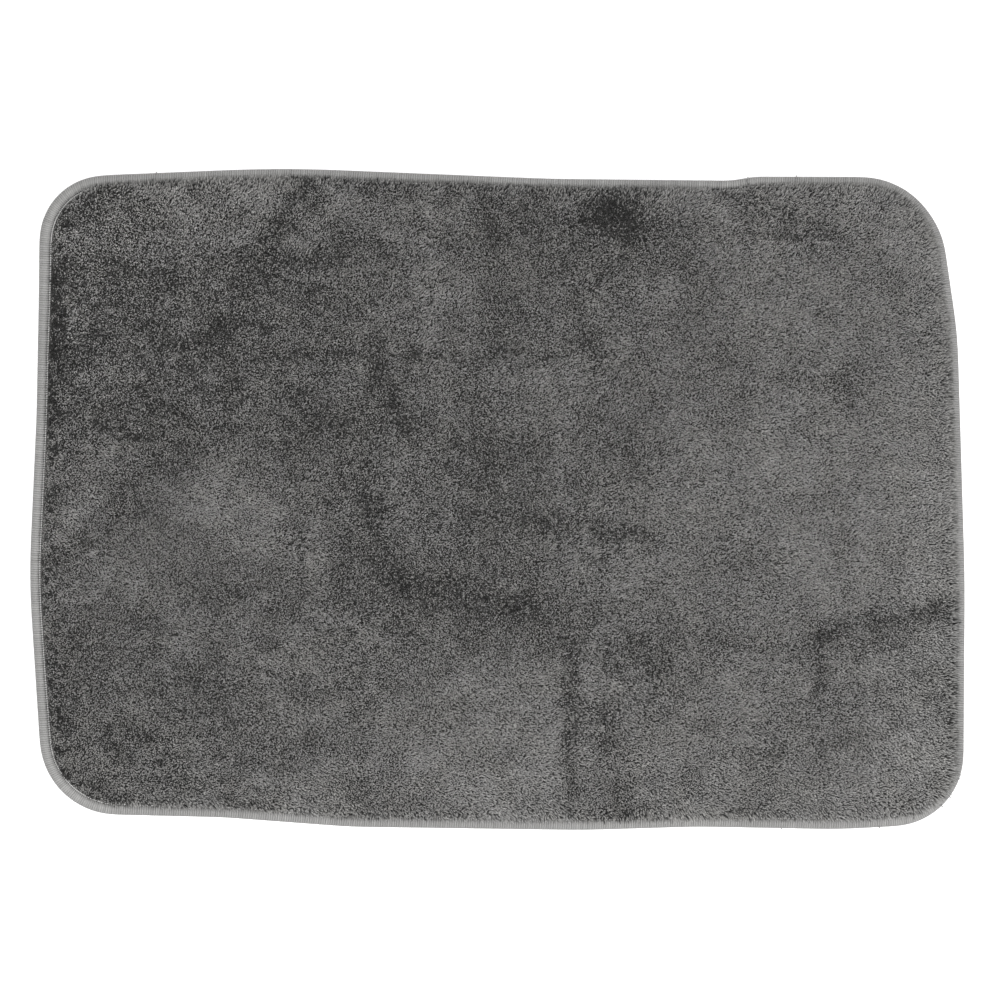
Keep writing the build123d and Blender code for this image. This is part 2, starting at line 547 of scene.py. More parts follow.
def mesh_object(name, vertices, face_groups, material):
    """An object from points and arrays of faces, each array holding faces with one number of corners."""
    mesh = bpy.data.meshes.new(name)
    groups = [np.asarray(g, np.int32).reshape(-1, np.shape(g)[-1]) for g in face_groups]
    sizes = np.concatenate([np.full(len(g), g.shape[1], np.int32) for g in groups])
    corners = np.concatenate([g.ravel() for g in groups])
    mesh.vertices.add(len(vertices))
    mesh.vertices.foreach_set("co", np.asarray(vertices, np.float32).ravel())
    mesh.loops.add(len(corners))
    mesh.loops.foreach_set("vertex_index", corners)
    mesh.polygons.add(len(sizes))
    mesh.polygons.foreach_set("loop_start", (np.cumsum(sizes) - sizes).astype(np.int32))
    mesh.polygons.foreach_set("use_smooth", np.ones(len(sizes), bool))
    mesh.update(calc_edges=True)
    mesh.materials.append(material)
    made = bpy.data.objects.new(name, mesh)
    bpy.context.scene.collection.objects.link(made)
    return made


def paint(piece, name, values):
    """A colour attribute on a piece's points, from three columns of values between 0 and 1."""
    colours = np.ones((len(values), 4), np.float32)
    colours[:, :3] = values
    attribute = piece.data.color_attributes.new(name, "FLOAT_COLOR", "POINT")
    attribute.data.foreach_set("color", colours.ravel())


def set_uv(piece, coordinates):
    """The map for the piece's looks, one coordinate for each face corner."""
    layer = piece.data.uv_layers.new(name="OFBake")
    layer.data.foreach_set("uv", np.asarray(coordinates, np.float32).ravel())


def flat_mesh(inset, pitch, ring_insets):
    """A flat mesh that fills the outline moved in by inset: its points, triangles and boundary."""
    step = max(1, round(pitch / STITCH_PITCH * RIM_STEPS / 2))
    rings = [RIM[::step] + RIM_IN[::step] * d for d in (inset, *ring_insets)]
    boundary = len(rings[0])
    inner = max((inset, *ring_insets))
    xs = np.arange(RIM[:, 0].min(), RIM[:, 0].max(), pitch)
    ys = np.arange(RIM[:, 1].min(), RIM[:, 1].max(), pitch)
    grid = np.stack(np.meshgrid(xs, ys), -1).reshape(-1, 2)
    inside = edge_distance(grid)[0] > inner + 0.7 * pitch
    points = np.vstack([*rings, grid[inside]])
    edges = [(k, (k + 1) % boundary) for k in range(boundary)]
    made = delaunay_2d_cdt([Vector(p) for p in points], edges, [], 1, 1e-7)
    out, triangles, origins = made[0], made[2], made[3]
    place = {source[0]: k for k, source in enumerate(origins) if source}
    ring = np.array([place[k] for k in range(boundary)])
    return np.array([tuple(p) for p in out]), np.array([list(t) for t in triangles]), ring


def layer(name, material, inset, pitch, bottom, top, ring_insets=()):
    """A closed layer of the mat between two height functions of the points and their edge distance."""
    points, triangles, ring = flat_mesh(inset, pitch, ring_insets)
    distance = edge_distance(points)[0]
    upper = np.column_stack([points, top(points, distance)])
    lower = np.column_stack([points, bottom(points, distance)])
    after = np.roll(ring, -1)
    wall = np.column_stack([ring, ring + len(points), after + len(points), after])
    a, b, c = points[triangles[0]]
    if (b - a)[0] * (c - a)[1] - (b - a)[1] * (c - a)[0] < 0:
        triangles = triangles[:, ::-1]
    faces = np.vstack([triangles, triangles[:, ::-1] + len(points)])
    return mesh_object(name, np.vstack([upper, lower]), [faces, wall], material)


def tubes(centres, sideways, outwards, half_width, half_height, sides):
    """Closed tubes of elliptical section along paths.

    centres, sideways and outwards are (tube, step, 3) arrays; the half sizes are (tube, step).
    Returns the points, the faces and each point's place: tube, share along it, share round it.
    """
    count, steps = centres.shape[:2]
    turn = np.arange(sides) * 2 * math.pi / sides
    across = np.cos(turn)[None, None, :, None] * (half_width[..., None, None] * sideways[:, :, None, :])
    above = np.sin(turn)[None, None, :, None] * (half_height[..., None, None] * outwards[:, :, None, :])
    vertices = centres[:, :, None, :] + across + above
    index = np.arange(count * steps * sides).reshape(count, steps, sides)
    after = np.roll(index, -1, axis=2)
    quads = np.stack([index[:, :-1], after[:, :-1], after[:, 1:], index[:, 1:]], -1)
    start_caps = index[:, 0, ::-1]
    end_caps = index[:, -1, :]
    place = np.empty((count, steps, sides, 3))
    place[..., 0] = np.arange(count)[:, None, None]
    place[..., 1] = np.linspace(0, 1, steps)[None, :, None]
    place[..., 2] = (turn / (2 * math.pi))[None, None, :]
    faces = [quads.reshape(-1, 4), start_caps, end_caps]
    return vertices.reshape(-1, 3), faces, place.reshape(-1, 3)


def smooth_path(knots, count):
    """Points on a Catmull-Rom curve through the knots."""
    knots = np.asarray(knots, float)
    padded = np.vstack([2 * knots[0] - knots[1], knots, 2 * knots[-1] - knots[-2]])
    at = np.linspace(0, len(knots) - 1, count)
    span = np.minimum(at.astype(int), len(knots) - 2)
    t = (at - span)[:, None]
    p0, p1, p2, p3 = (padded[span + k] for k in range(4))
    return 0.5 * (2 * p1 + (p2 - p0) * t + (2 * p0 - 5 * p1 + 4 * p2 - p3) * t**2
                  + (3 * p1 - p0 - 3 * p2 + p3) * t**3)


# -------- materials


class Nodes:
    """Short ways to build one material's node tree."""

    def __init__(self, name, roughness, sheen=0.0, sheen_roughness=0.5, specular=0.25):
        self.material = bpy.data.materials.new(name)
        self.material.use_nodes = True
        self.tree = self.material.node_tree
        self.shader = self.tree.nodes["Principled BSDF"]
        self.shader.inputs["Roughness"].default_value = roughness
        self.shader.inputs["Sheen Weight"].default_value = sheen
        self.shader.inputs["Sheen Roughness"].default_value = sheen_roughness
        self.shader.inputs["Specular IOR Level"].default_value = specular

    def wire(self, value, socket):
        """Links a node's output to an input, or sets the input to a plain value."""
        if isinstance(value, bpy.types.NodeSocket):
            self.tree.links.new(value, socket)
        else:
            socket.default_value = value

    def add(self, kind, **inputs):
        node = self.tree.nodes.new(kind)
        for key, value in inputs.items():
            self.wire(value, node.inputs[key.replace("_", " ")])
        return node

    def place(self):
        """Where a point is on the object, in metres."""
        return self.add("ShaderNodeTexCoord").outputs["Object"]

    def painted(self, name):
        """The three columns of a colour attribute."""
        attribute = self.tree.nodes.new("ShaderNodeAttribute")
        attribute.attribute_name = name
        return self.add("ShaderNodeSeparateColor", Color=attribute.outputs["Color"]).outputs

    def calc(self, operation, a, b=0.0, c=0.0):
        node = self.tree.nodes.new("ShaderNodeMath")
        node.operation = operation
        for socket, value in zip(node.inputs, (a, b, c)):
            self.wire(value, socket)
        return node.outputs[0]

    def noise(self, scale, detail=2.0, vector=None):
        node = self.add("ShaderNodeTexNoise", Scale=scale, Detail=detail, Vector=vector or self.place())
        return node.outputs["Fac"]

    def between(self, share, dark, light):
        """A colour between two greys or colours, by a share from 0 to 1."""
        ramp = self.add("ShaderNodeValToRGB", Fac=share)
        ramp.color_ramp.elements[0].color = (*dark, 1)
        ramp.color_ramp.elements[1].color = (*light, 1)
        return ramp.outputs["Color"]

    def mixed(self, share, first, second):
        """One colour turning into another as a share goes from 0 to 1."""
        mix = self.tree.nodes.new("ShaderNodeMix")
        mix.data_type = "RGBA"
        for socket, value in ((0, share), (6, first), (7, second)):
            self.tree.links.new(value, mix.inputs[socket])
        return mix.outputs[2]

    def finish(self, colour, height=None, depth=0.0):
        """Connects the colour, and a height in shares of depth metres as bump."""
        self.tree.links.new(colour, self.shader.inputs["Base Color"])
        if height is not None:
            bump = self.add("ShaderNodeBump", Height=height, Distance=depth, Strength=1.0)
            self.tree.links.new(bump.outputs["Normal"], self.shader.inputs["Normal"])
        return self.material


def brightened(nodes, colour, factor):
    """A colour times a factor that a socket gives."""
    scale = nodes.tree.nodes.new("ShaderNodeVectorMath")
    scale.operation = "SCALE"
    nodes.tree.links.new(colour, scale.inputs[0])
    nodes.tree.links.new(factor, scale.inputs["Scale"])
    return scale.outputs[0]


def pile_material():
    """Microfibre tufts: painted shade darkens them towards the root, paler and softer at the cut tip, each a
    little different.
    """
    nodes = Nodes("pile_fibre", roughness=0.8, sheen=0.12, sheen_roughness=0.45, specular=0.2)
    brightness, height, hue = list(nodes.painted("fibre"))[:3]
    # painted shade: the colour darkens from the tip down to the root, where the pile shades itself
    cool = nodes.between(height, (0.066, 0.0655, 0.0645), (0.326, 0.323, 0.317))
    warm = nodes.between(height, (0.067, 0.066, 0.0635), (0.329, 0.324, 0.311))
    colour = nodes.mixed(hue, cool, warm)
    cells = nodes.add("ShaderNodeTexVoronoi", Vector=nodes.place(), Scale=1250.0).outputs["Color"]
    strand = nodes.add("ShaderNodeSeparateColor", Color=cells).outputs[0]
    shade = nodes.calc("MULTIPLY_ADD", strand, 0.55, 0.725)
    factor = nodes.calc("MULTIPLY", shade, nodes.calc("MULTIPLY", brightness, 2.0))
    return nodes.finish(brightened(nodes, colour, factor))


def pile_bed_shade_material():
    """The dense roots of the pile, seen only between the tufts, coloured near black as painted shade for the
    gaps.
    """
    nodes = Nodes("pile_roots_painted_shade", roughness=0.95, sheen=0.1, specular=0.1)
    clumps = nodes.noise(650, 3.0)
    # painted shade: near black, for the shade deep between the tufts
    colour = nodes.between(clumps, (0.024, 0.024, 0.023), (0.087, 0.086, 0.083))
    return nodes.finish(colour, clumps, 1.2 * MM)


def yarn_material():
    """Bulky textured polyester yarn, its fine fibres running along each wrap."""
    nodes = Nodes("edge_yarn", roughness=0.75, sheen=0.3, sheen_roughness=0.4)
    brightness, along, around = list(nodes.painted("strand"))[:3]
    fibres = nodes.add("ShaderNodeCombineXYZ", X=nodes.calc("MULTIPLY", around, 9.0), Y=along,
                       Z=nodes.calc("MULTIPLY", brightness, 40.0))
    streaks = nodes.noise(3.0, 3.0, fibres.outputs[0])
    colour = nodes.between(streaks, (0.19, 0.188, 0.184), (0.333, 0.33, 0.324))
    factor = nodes.calc("MULTIPLY", brightness, 2.0)
    return nodes.finish(brightened(nodes, colour, factor), streaks, 0.25 * MM)


def thread_material():
    """Smooth spun sewing thread with a fine twist."""
    nodes = Nodes("needle_thread", roughness=0.55, sheen=0.15, specular=0.4)
    brightness, along, around = list(nodes.painted("strand"))[:3]
    turned = nodes.calc("MULTIPLY", around, 4 * math.pi)
    twist = nodes.calc("SINE", nodes.calc("MULTIPLY_ADD", along, 40.0, turned))
    share = nodes.calc("MULTIPLY_ADD", twist, 0.5, 0.5)
    colour = nodes.between(share, (0.46, 0.456, 0.448), (0.66, 0.655, 0.645))
    factor = nodes.calc("MULTIPLY", brightness, 2.0)
    return nodes.finish(brightened(nodes, colour, factor), share, 0.06 * MM)


def cloth_material(name, dark, light, thread_pitch, slant):
    """Cloth with two sets of crossing threads; slant turns a plain weave towards knit columns."""
    nodes = Nodes(name, roughness=0.9, sheen=0.2, specular=0.15)
    x, y, _ = list(nodes.add("ShaderNodeSeparateXYZ", Vector=nodes.place()).outputs)
    turns = 2 * math.pi / thread_pitch
    leaned = nodes.calc("MULTIPLY_ADD", x, slant, y)
    warp = nodes.calc("SINE", nodes.calc("MULTIPLY", x, turns))
    weft = nodes.calc("SINE", nodes.calc("MULTIPLY", leaned, turns))
    crossing = nodes.calc("MULTIPLY_ADD", nodes.calc("MULTIPLY", warp, weft), 0.35, 0.5)
    grain = nodes.calc("MULTIPLY_ADD", nodes.noise(900), 0.3, nodes.calc("SUBTRACT", crossing, 0.15))
    return nodes.finish(nodes.between(grain, dark, light), grain, 0.25 * MM)


def foam_material():
    """Open-cell foam: small round pores, a little yellow."""
    nodes = Nodes("foam", roughness=0.95, specular=0.1)
    pores = nodes.add("ShaderNodeTexVoronoi", Vector=nodes.place(), Scale=1400.0).outputs["Distance"]
    colour = nodes.between(pores, (0.42, 0.39, 0.32), (0.72, 0.69, 0.6))
    return nodes.finish(colour, pores, 0.3 * MM)


def rubber_material():
    """Matt soft rubber with a faint cast texture."""
    nodes = Nodes("grip_rubber", roughness=0.6, specular=0.4)
    grain = nodes.noise(1500, 3.0)
    return nodes.finish(nodes.between(grain, (0.055, 0.055, 0.056), (0.1, 0.1, 0.102)), grain, 0.08 * MM)


# -------- the mat's layers


def hold(piece, node):
    """The piece rides with the mat and stands for its CAD node."""
    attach(piece, BODY)
    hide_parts(node)
    return piece


def level(height):
    """A height function that is the same everywhere."""
    return lambda points, distance: np.full(len(points), height)


def ramped(height):
    """A height function that is lower under the seam."""
    return lambda points, distance: squeezed(height, distance)


def make_backing_cloth():
    weave = cloth_material("backing", (0.17, 0.17, 0.172), (0.33, 0.33, 0.333), 0.9 * MM, 0.0)
    bottom, top = level(BACKING_BOTTOM_Z), level(BACKING_TOP_Z)
    cloth = layer("backing_cloth_woven", weave, CLOTH_EDGE, LAYER_PITCH, bottom, top)
    hold(cloth, "backing_cloth")


def make_foam_core():
    bottom, top = level(BACKING_TOP_Z), ramped(FOAM_TOP_Z)
    foam = layer("foam_core_sponge", foam_material(), CLOTH_EDGE, LAYER_PITCH, bottom, top, RAMP_RINGS)
    hold(foam, "foam_core")


def make_ground_fabric():
    knit = cloth_material("ground_cloth", (0.07, 0.07, 0.068), (0.17, 0.168, 0.164), 1.3 * MM, 0.5)
    bottom, top = ramped(FOAM_TOP_Z), ramped(GROUND_TOP_Z)
    cloth = layer("ground_fabric_knit", knit, CLOTH_EDGE, LAYER_PITCH, bottom, top, RAMP_RINGS)
    hold(cloth, "ground_fabric")


def make_pile_bed():
    """The dense lower part of the pile: one soft sheet with a rounded edge."""
    rings = [PILE_EDGE + share * SHOULDER for share in (0.06, 0.18, 0.36, 0.6, 1.0)]

    def top(points, distance):
        return np.maximum(bed_height(points, distance), squeezed(GROUND_TOP_Z, distance) + 0.05 * MM)

    bed = layer("pile_bed", pile_bed_shade_material(), PILE_EDGE, BED_PITCH, ramped(GROUND_TOP_Z), top, rings)
    return hold(bed, "pile")


# -------- the tufts


def tuft_roots():
    """Where the tufts stand: a loosely staggered grid inside the seam."""
    rng = np.random.default_rng(RNG_SEED)
    row_pitch = TUFT_PITCH * math.sqrt(3) / 2
    xs = np.arange(-MAT_LENGTH / 2, MAT_LENGTH / 2, TUFT_PITCH)
    ys = np.arange(-MAT_WIDTH / 2, MAT_WIDTH / 2, row_pitch)
    x, y = np.meshgrid(xs, ys)
    x[1::2] += TUFT_PITCH / 2
    roots = np.column_stack([x.ravel(), y.ravel()])
    roots += rng.normal(0, 0.2 * TUFT_PITCH, roots.shape)
    distance, nearest = edge_distance(roots)
    inside = distance > PILE_EDGE + 0.5 * MM
    return roots[inside], distance[inside], nearest[inside]


def tuft_lean(roots, distance, nearest, nap):
    """How far each tuft leans in X and Y, as a share of its length."""
    rng = np.random.default_rng(RNG_SEED + 1)
    fan = NAP_FAN * roots[:, 1] / MAT_WIDTH * 2
    direction = np.array(NAP_DIRECTION) + np.column_stack([np.zeros(len(roots)), fan])
    strength = NAP_LEAN + NAP_LEAN_SPREAD * np.clip(nap, -1.3, 1.3)
    ruffle = np.clip(0.6 - 0.5 * nap, 0.15, 1.5)[:, None]
    lean = strength[:, None] * direction
    for wave, seed, share in LEAN_WAVES:
        lean += share * noise_pair(roots, wave * MM, seed)
    cell, seed, share = LEAN_RUFFLE
    lean += share * ruffle * noise_pair(roots, cell, seed)
    lean += rng.normal(0, LEAN_RANDOM, lean.shape)
    lean += LEAN_SPILL * edge_spill(distance, nearest, 4 * MM)[:, None] * -RIM_IN[nearest]
    size = np.linalg.norm(lean, axis=1)
    return lean * (np.minimum(size, LEAN_LIMIT) / np.maximum(size, 1e-9))[:, None]


def overhang(nearest):
    """How far the nap leans out over the edge at outline points: 1 straight out, 0 where it leans in."""
    facing = 0.5 - 0.5 * RIM_IN[nearest] @ NAP_DIRECTION
    return np.interp(facing, [0.15, 0.45, 1.0], [0.0, 0.66, 1.0])


def edge_spill(distance, nearest, reach):
    """The overhang of the pile, strongest at the edge and fading out further in."""
    return overhang(nearest) * np.exp(-(distance - PILE_EDGE) / reach)


def edge_clumps(roots, distance, nearest):
    """Clumps of pile that stand up and part just inside the seam, most where the nap leans inwards; the
    lower nap also paints them darker as shade.
    """
    clumps = np.clip(3.2 * noise(roots, 3.2 * MM, 74) - 0.6, 0, 1.5)
    band = np.exp(-(((distance - CLUMP_PLACE) / CLUMP_REACH) ** 2))
    return CLUMP_DEPTH * clumps * band * np.clip(1 - 1.5 * overhang(nearest), 0, 1)


def tuft_lengths(roots, distance, nearest):
    """Each tuft's length: shorter round the shoulder, longer where the edge pile hangs over the seam."""
    rng = np.random.default_rng(RNG_SEED + 5)
    length = 1 + rng.normal(0, 0.07, len(roots)) + 0.08 * noise(roots, 4.5 * MM, 70)
    length *= 0.62 + 0.38 * shoulder(distance, SHOULDER)
    extra = 1.0 * edge_spill(distance, nearest, 3 * MM)
    for x, y, radius, share in EDGE_PILE:
        away = area_spread(roots, x, y, radius, radius)
        extra += share * np.exp(-away - (distance - PILE_EDGE) / (4 * MM))
    return TUFT_LENGTH * length * (1 + extra)


def tuft_bodies(roots, lean, length, base_height):
    """The points of every tuft, as a (tuft, point, 3) array: rings from the root up, then the tip."""
    rng = np.random.default_rng(RNG_SEED + 2)
    count = len(roots)
    upright = np.sqrt(1 - (lean**2).sum(1))
    base = np.column_stack([roots, base_height])
    shares = np.array(list(TUFT_WIDTHS))
    widths = np.array(list(TUFT_WIDTHS.values()))
    bend = shares[None, :, None] ** 1.5 * (lean * length[:, None])[:, None, :]
    rise = shares[None, :] * (upright * length)[:, None]
    centres = base[:, None, :] + np.concatenate([bend, rise[..., None]], -1)
    tips = base + np.column_stack([lean * length[:, None], upright * length])
    wide = TUFT_PITCH * rng.uniform(*TUFT_WIDE, count)
    narrow = wide * rng.uniform(*TUFT_NARROW, count)
    angle = np.arange(TUFT_SIDES) * 2 * math.pi / TUFT_SIDES
    u = wide[:, None, None] * widths[None, :, None] * np.cos(angle)
    v = narrow[:, None, None] * widths[None, :, None] * np.sin(angle)
    turn = rng.uniform(0, 2 * math.pi, count)
    cos, sin = np.cos(turn)[:, None, None], np.sin(turn)[:, None, None]
    ring = np.stack([u * cos - v * sin, u * sin + v * cos, np.zeros_like(u)], -1)
    tilt = -(ring[..., :2] * lean[:, None, None, :]).sum(-1) / np.maximum(upright, 0.45)[:, None, None]
    ring[..., 2] = np.clip(tilt, -1 * MM, 1 * MM)
    body = (centres[:, :, None, :] + ring).reshape(count, -1, 3)
    return np.concatenate([body, tips[:, None, :]], 1)


def make_tufts():
    """Every tuft as a closed, bent and tapered body, in tiles small enough to keep all their faces."""
    rng = np.random.default_rng(RNG_SEED + 3)
    roots, distance, nearest = tuft_roots()
    nap = nap_at(roots) - edge_clumps(roots, distance, nearest)
    lean = tuft_lean(roots, distance, nearest, nap)
    count = len(roots)
    length = tuft_lengths(roots, distance, nearest)
    vertices = tuft_bodies(roots, lean, length, bed_height(roots, distance) - TUFT_ROOT_DEPTH)
    heights = np.append(np.repeat(list(TUFT_WIDTHS), TUFT_SIDES), 1.0)
    fibre = np.empty((count, len(heights), 3))
    rough = roughness_at(roots)
    # painted shade: a share of the tufts is coloured dark, as if shaded between the others; their shape
    # stays the same
    shaded_tufts = rng.random(count) < read_off(SHADED_TUFT_SHARE, nap) + ROUGH_SHADED_SHARE * rough
    spread = read_off(PLAIN_SPREAD, nap) + ROUGH_SPREAD * rough
    plain_tone = (1 + ROUGH_LIFT * rough) * (1 + spread * rng.uniform(-1, 1, count))
    own_tone = np.where(shaded_tufts, rng.uniform(*SHADED_TUFT_TONE, count), plain_tone)
    # painted light and shade: the colour follows the nap, lighter where it lies flat, darker where it is
    # ruffled
    tone = 0.5 * np.exp(NAP_LIGHT_AND_SHADE * nap) * own_tone
    tone *= 1 - 0.2 * edge_spill(distance, nearest, 5 * MM)
    fibre[..., 0] = tone[:, None] * rng.uniform(0.9, 1.1, (count, len(heights)))
    fibre[..., 1] = heights[None, :]
    fibre[..., 2] = 0.5 + 0.5 * noise(roots, 12 * MM, 72)[:, None]
    column = np.clip(((roots[:, 0] / MAT_LENGTH + 0.5) * TILE_COLUMNS).astype(int), 0, TILE_COLUMNS - 1)
    row = np.clip(((roots[:, 1] / MAT_WIDTH + 0.5) * TILE_ROWS).astype(int), 0, TILE_ROWS - 1)
    material = pile_material()
    tiles = []
    for number in range(TILE_COLUMNS * TILE_ROWS):
        chosen = column + TILE_COLUMNS * row == number
        tiles.append(tuft_tile(f"pile_tufts_{number + 1:02d}", vertices[chosen], fibre[chosen], material))
    return tiles


def tuft_tile(name, vertices, fibre, material):
    """One tile's tufts as a mesh, each tuft with a cell of its own in the map."""
    count, points = vertices.shape[:2]
    rings = len(TUFT_WIDTHS)
    k = np.arange(TUFT_SIDES)
    after = (k + 1) % TUFT_SIDES
    quads = np.concatenate([
        np.column_stack([first + k, first + after, first + TUFT_SIDES + after, first + TUFT_SIDES + k])
        for first in range(0, (rings - 1) * TUFT_SIDES, TUFT_SIDES)
    ])
    last = (rings - 1) * TUFT_SIDES
    tip = np.full(TUFT_SIDES, points - 1)
    ends = np.vstack([k[None, ::-1], np.column_stack([last + k, last + after, tip])])
    first_point = (np.arange(count) * points)[:, None, None]
    faces = [(group[None] + first_point).reshape(-1, group.shape[1]) for group in (quads, ends)]
    piece = mesh_object(name, vertices.reshape(-1, 3), faces, material)
    paint(piece, "fibre", fibre.reshape(-1, 3))
    cells = math.ceil(math.sqrt(count))
    across = np.append(np.tile(k / TUFT_SIDES, rings), 0.5)
    along = np.append(np.repeat(np.arange(rings) / rings, TUFT_SIDES), 1.0)
    inside_cell = CELL_MARGIN + (1 - 2 * CELL_MARGIN) * np.column_stack([across, along])
    corner = np.column_stack([np.arange(count) % cells, np.arange(count) // cells])
    coordinates = (corner[:, None, :] + inside_cell[None]) / cells
    set_uv(piece, np.vstack([coordinates[:, group.ravel()].reshape(-1, 2) for group in (quads, ends)]))
    return hold(piece, "pile")


# -------- the seam


def stitch_frame():
    """Each stitch's place on the rim and its directions, as (stitch, 1, 3) arrays."""
    at = np.arange(STITCHES) * RIM_STEPS
    pad = np.zeros((STITCHES, 1))
    return tuple(np.hstack([a[at], pad])[:, None, :] for a in (RIM, RIM_ALONG, RIM_IN))


def seam_wander(seed, amount):
    """Slow changes round the rim, one value for each stitch."""
    rng = np.random.default_rng(RNG_SEED + seed)
    values = smooth_closed(rng.normal(0, 1, STITCHES), WANDER_SPAN)
    return amount * values / values.std()


def path_normals(centres, sideways):
    """Unit directions square to both a path's own direction and its sideways direction."""
    tangent = np.gradient(centres, axis=1)
    tangent /= np.linalg.norm(tangent, axis=2, keepdims=True)
    normals = np.cross(tangent, sideways)
    return normals / np.linalg.norm(normals, axis=2, keepdims=True)


def paint_strands(piece, tone, place, shade=1.0):
    """The tone of each tube, with an own shade for each point, and the places along and round it."""
    brightness = tone[place[:, 0].astype(int)] * shade
    paint(piece, "strand", np.column_stack([brightness, place[:, 1], place[:, 2]]))


def looper_wraps(name, knots, size, seed, shift):
    """One looper yarn: a wrap for each stitch along a path of (inset, height) knots, as one piece."""
    rng = np.random.default_rng(RNG_SEED + seed)
    origin, along, inwards = stitch_frame()
    path = smooth_path(np.array(knots) * MM, WRAP_STEPS)
    inner = path[:, 0] / path[:, 0].max()
    growth = seam_growth(np.arange(STITCHES) * RIM_STEPS) - 1 + seam_wander(80, SEAM_WANDER)
    reach = 1 + inner[None, :] * (growth + rng.normal(0, 0.02, STITCHES))[:, None]
    inset = path[None, :, 0] * reach
    height = path[None, :, 1] * np.ones((STITCHES, 1))
    height = height + (path[None, :, 1] > SEAM_TOP_Z * 0.6) * join_lift()[:, None]
    slip = (shift + rng.normal(0, 0.015, STITCHES))[:, None] + WRAP_SLANT * (inner[None, :] - 0.5)
    centres = origin + inwards * inset[..., None] + UP * height[..., None]
    centres = centres + along * (slip * STITCH_PITCH)[..., None]
    sideways = np.broadcast_to(along, centres.shape)
    outwards = path_normals(centres, sideways)
    taper = np.sin(np.linspace(WRAP_ROUNDING, math.pi - WRAP_ROUNDING, WRAP_STEPS)) ** WRAP_FULLNESS
    plump = taper[None, :] * rng.normal(1, 0.015, STITCHES)[:, None]
    half_width, half_height = (half * plump for half in size)
    vertices, faces, place = tubes(centres, sideways, outwards, half_width, half_height, WRAP_SIDES)
    piece = mesh_object(name, vertices, faces, yarn_material())
    tone = 0.5 * (1 + rng.normal(0, 0.05, STITCHES) + seam_wander(81, SEAM_WANDER))
    tone[-JOIN_OVERLAP:] *= JOIN_BRIGHTNESS
    inside = edge_distance(vertices[:, :2])[0] / MM
    crown = np.clip(np.sin(2 * math.pi * place[:, 2]), 0, 1)  # 1 along a wrap's outer side, 0 in the grooves
    # painted light and shade across the seam, and painted shade in the grooves between the wraps
    shade = read_off(RIM_LIGHT_AND_SHADE, inside) * (1 - read_off(GROOVE_SHADE, inside) * (1 - crown))
    paint_strands(piece, tone, place, shade)
    return piece


def join_lift():
    """How much higher the wraps lie where the seam's end is sewn over its start."""
    lift = np.zeros(STITCHES)
    steps = np.arange(JOIN_OVERLAP)
    lift[-JOIN_OVERLAP:] = JOIN_LIFT * np.sin(math.pi * (steps + 0.5) / JOIN_OVERLAP) ** 0.5
    return lift


def make_upper_looper():
    yarn = looper_wraps("overlock_upper_yarn", UPPER_WRAP, UPPER_WRAP_SIZE, seed=90, shift=0.0)
    hold(yarn, "upper_looper_yarn")


def make_lower_looper():
    """The underside's yarn, half a stitch along from the upper one."""
    yarn = looper_wraps("overlock_lower_yarn", LOWER_WRAP, LOWER_WRAP_SIZE, seed=95, shift=0.5)
    hold(yarn, "lower_looper_yarn")


def make_needle_thread():
    """Short separate stitches along the seam's inner border, each arched between its two holes."""
    rng = np.random.default_rng(RNG_SEED + 97)
    origin, along, inwards = stitch_frame()
    shares = np.linspace(-0.34, 0.34, len(NEEDLE_PROFILE))[None, :, None]
    growth = seam_growth(np.arange(STITCHES) * RIM_STEPS)
    inset = ((NEEDLE_OUTER + NEEDLE_SHIFT) * growth + seam_wander(80, 0.15 * MM))[:, None, None]
    height = MARGIN_TOP_Z + 0.25 * MM + NEEDLE_ARCH * np.cos(shares * math.pi / 0.75)
    centres = origin + inwards * inset + UP * height + along * shares * STITCH_PITCH
    outwards_from_mat = -np.broadcast_to(inwards, centres.shape)
    radius = NEEDLE_RADIUS * np.tile(NEEDLE_PROFILE, (STITCHES, 1))
    above = path_normals(centres, outwards_from_mat)
    vertices, faces, place = tubes(centres, outwards_from_mat, above, radius, radius, THREAD_SIDES)
    piece = mesh_object("overlock_needle_thread", vertices, faces, thread_material())
    paint_strands(piece, 0.5 * rng.normal(1, 0.06, STITCHES), place)
    hold(piece, "needle_thread")


def make_thread_ends():
    """The loose ends of the seam's yarn: short bent tubes that start on the seam."""
    share = np.linspace(0, 1, len(THREAD_END_PROFILE))[None, :, None]
    x, y, heading, length, first_height, last_height, tone = np.array(THREAD_ENDS).T
    nearest = edge_distance(np.column_stack([x, y]) * MM)[1]
    foot = RIM[nearest] + THREAD_END_INSET * RIM_IN[nearest]
    start = np.column_stack([foot, first_height * MM])[:, None, :]
    angle = np.radians(heading)
    ahead = np.column_stack([np.cos(angle), np.sin(angle), 0 * angle])[:, None, :]
    across = np.column_stack([-np.sin(angle), np.cos(angle), 0 * angle])[:, None, :]
    length = length[:, None, None] * MM
    drop = (last_height - first_height)[:, None, None] * MM
    centres = start + ahead * length * share + across * 0.15 * length * share**2 + UP * drop * share**2
    sideways = np.broadcast_to(across, centres.shape)
    outwards = path_normals(centres, sideways)
    radius = THREAD_END_RADIUS * np.tile(THREAD_END_PROFILE, (len(start), 1))
    vertices, faces, place = tubes(centres, sideways, outwards, radius, radius, THREAD_SIDES)
    piece = mesh_object("overlock_thread_ends", vertices, faces, yarn_material())
    paint_strands(piece, 0.5 * tone, place)
    hold(piece, "upper_looper_yarn")


# -------- grip dots


def grip_dot_centres():
    """The middle of each CAD grip dot, from the points of its flat tip."""
    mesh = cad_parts["grip_dots"].data
    points = np.array([v.co for v in mesh.vertices])
    tips = points[points[:, 2] < low("grip_dots").z + ON_FACE][:, :2]
    keys = np.round(tips / DOT_CELL).astype(int)
    return np.array([tips[(keys == key).all(1)].mean(0) for key in np.unique(keys, axis=0)])


